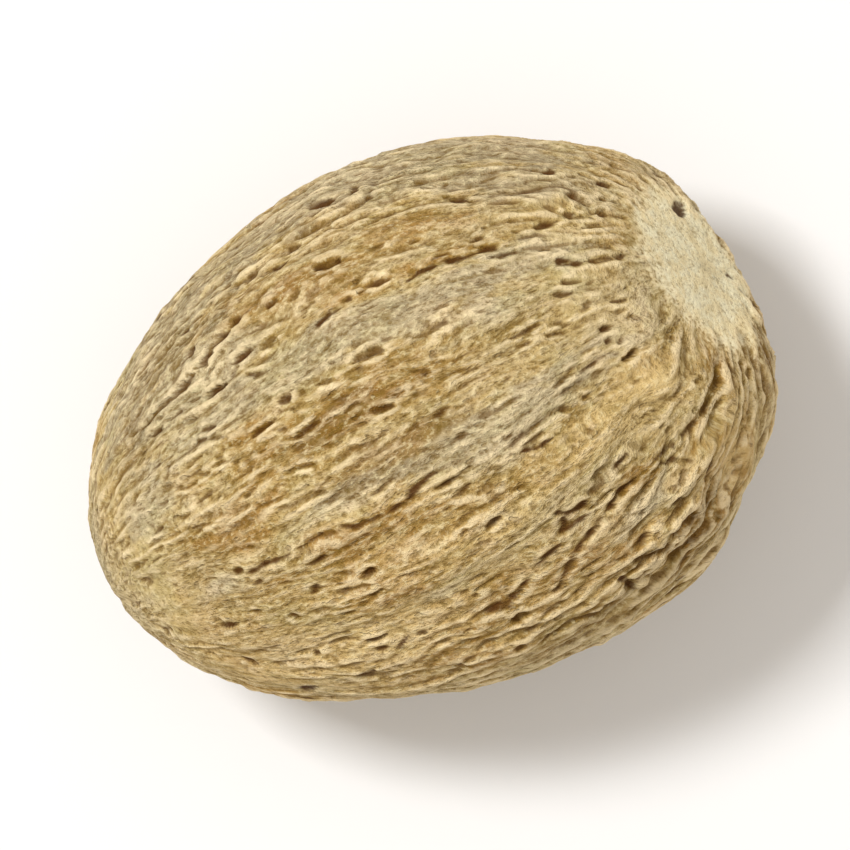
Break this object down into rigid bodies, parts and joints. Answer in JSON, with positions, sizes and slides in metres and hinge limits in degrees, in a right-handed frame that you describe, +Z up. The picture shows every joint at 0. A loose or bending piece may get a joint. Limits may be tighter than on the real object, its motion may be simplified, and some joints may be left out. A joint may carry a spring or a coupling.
{
  "type": "whole nutmeg",
  "caption": "Whole dried nutmeg lying on its side: an egg-shaped brown seed, furrowed from the pale scar at its blunt end to a small pit.",
  "frame": {"origin": "on the ground, under the middle of the seed's box", "axes": "+X along the long axis towards the pale scar (hilum), +Z up as the seed lies, +Y across"},
  "size_m": [0.027, 0.0206, 0.0198],
  "materials": {
    "nutmeg_skin": "dry matt seed skin, pale brown with fine dark furrows"
  },
  "bodies": {
    "root": {"nutmeg": "nutmeg_skin"}
  },
  "joints": []
}
